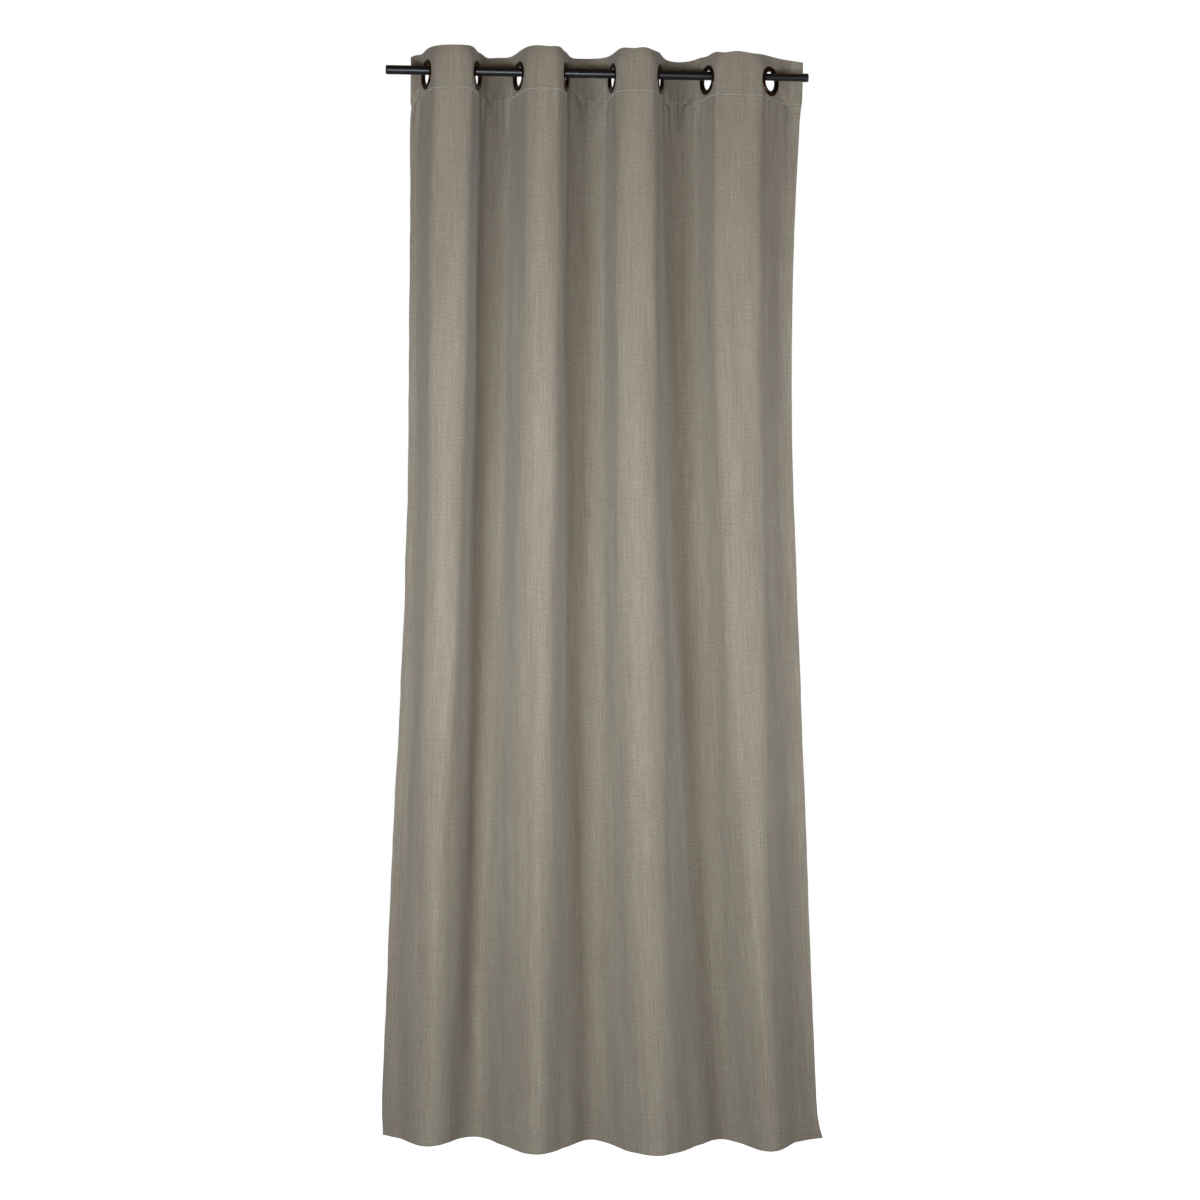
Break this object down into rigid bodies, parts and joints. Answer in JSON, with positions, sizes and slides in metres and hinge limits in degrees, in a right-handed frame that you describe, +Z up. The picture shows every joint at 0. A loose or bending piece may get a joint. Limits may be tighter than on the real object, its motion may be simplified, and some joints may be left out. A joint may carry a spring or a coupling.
{
  "type": "fabric room curtain panel",
  "caption": "Full-length woven curtain panel gathered on a telescopic pole through metal eyelets in its stiffened heading.",
  "frame": {"origin": "on the pole's axis at the middle of its length", "axes": "+X along the pole, towards its thinner tube; +Y towards the wall, away from the panel's face; +Z up"},
  "size_m": [1.011, 0.1689, 2.45],
  "materials": {
    "curtain_fabric": "plain-woven linen-look polyester, matt with a faint sheen",
    "stiffener": "bonded nonwoven tape",
    "thread": "spun polyester sewing thread",
    "label": "blank satin ribbon",
    "eyelet_bronze": "pressed steel, dark bronze plating, semi-gloss",
    "pole_steel": "satin black powder coat on steel tube",
    "pole_cap": "moulded black nylon"
  },
  "bodies": {
    "pole": {"pole_outer_tube": "pole_steel", "pole_cap_left": "pole_cap"},
    "pole_inner": {"pole_inner_tube": "pole_steel", "pole_cap_right": "pole_cap"},
    "panel": {"curtain_cloth": "curtain_fabric", "heading_stiffener": "stiffener", "heading_thread": "thread", "hem_thread": "thread", "side_thread_left": "thread", "side_thread_right": "thread", "care_label": "label", "eyelet_front_1": "eyelet_bronze", "eyelet_back_1": "eyelet_bronze"},
    "eyelet_2": {"eyelet_front_2": "eyelet_bronze", "eyelet_back_2": "eyelet_bronze"},
    "eyelet_3": {"eyelet_front_3": "eyelet_bronze", "eyelet_back_3": "eyelet_bronze"},
    "eyelet_4": {"eyelet_front_4": "eyelet_bronze", "eyelet_back_4": "eyelet_bronze"},
    "eyelet_5": {"eyelet_front_5": "eyelet_bronze", "eyelet_back_5": "eyelet_bronze"},
    "eyelet_6": {"eyelet_front_6": "eyelet_bronze", "eyelet_back_6": "eyelet_bronze"},
    "eyelet_7": {"eyelet_front_7": "eyelet_bronze", "eyelet_back_7": "eyelet_bronze"},
    "eyelet_8": {"eyelet_front_8": "eyelet_bronze", "eyelet_back_8": "eyelet_bronze"}
  },
  "joints": [
    {"name": "pole_extend", "type": "slide", "parent": "pole", "child": "pole_inner", "axis": [1, 0, 0], "range_m": [0, 0.3]},
    {"name": "panel_swing", "type": "hinge", "parent": "pole", "child": "panel", "pos_m": [0, 0, 0], "axis": [1, 0, 0], "range_deg": [-15, 15]},
    {"name": "panel_draw", "type": "slide", "parent": "panel", "child": "eyelet_8", "axis": [1, 0, 0], "range_m": [-0.4616, 0], "deforming": ["curtain_cloth", "heading_stiffener", "heading_thread", "hem_thread", "side_thread_left", "side_thread_right", "care_label"]},
    {"name": "draw_2", "type": "slide", "parent": "panel", "child": "eyelet_2", "axis": [1, 0, 0], "range_m": [-0.0674, 0]},
    {"name": "draw_3", "type": "slide", "parent": "panel", "child": "eyelet_3", "axis": [1, 0, 0], "range_m": [-0.1237, 0]},
    {"name": "draw_4", "type": "slide", "parent": "panel", "child": "eyelet_4", "axis": [1, 0, 0], "range_m": [-0.1866, 0]},
    {"name": "draw_5", "type": "slide", "parent": "panel", "child": "eyelet_5", "axis": [1, 0, 0], "range_m": [-0.249, 0]},
    {"name": "draw_6", "type": "slide", "parent": "panel", "child": "eyelet_6", "axis": [1, 0, 0], "range_m": [-0.3132, 0]},
    {"name": "draw_7", "type": "slide", "parent": "panel", "child": "eyelet_7", "axis": [1, 0, 0], "range_m": [-0.3774, 0]}
  ],
  "couplings": [
    {"joint": "draw_2", "follows": "panel_draw", "ratio": 0.14565},
    {"joint": "draw_3", "follows": "panel_draw", "ratio": 0.26763},
    {"joint": "draw_4", "follows": "panel_draw", "ratio": 0.40399},
    {"joint": "draw_5", "follows": "panel_draw", "ratio": 0.53918},
    {"joint": "draw_6", "follows": "panel_draw", "ratio": 0.67825},
    {"joint": "draw_7", "follows": "panel_draw", "ratio": 0.81716}
  ]
}
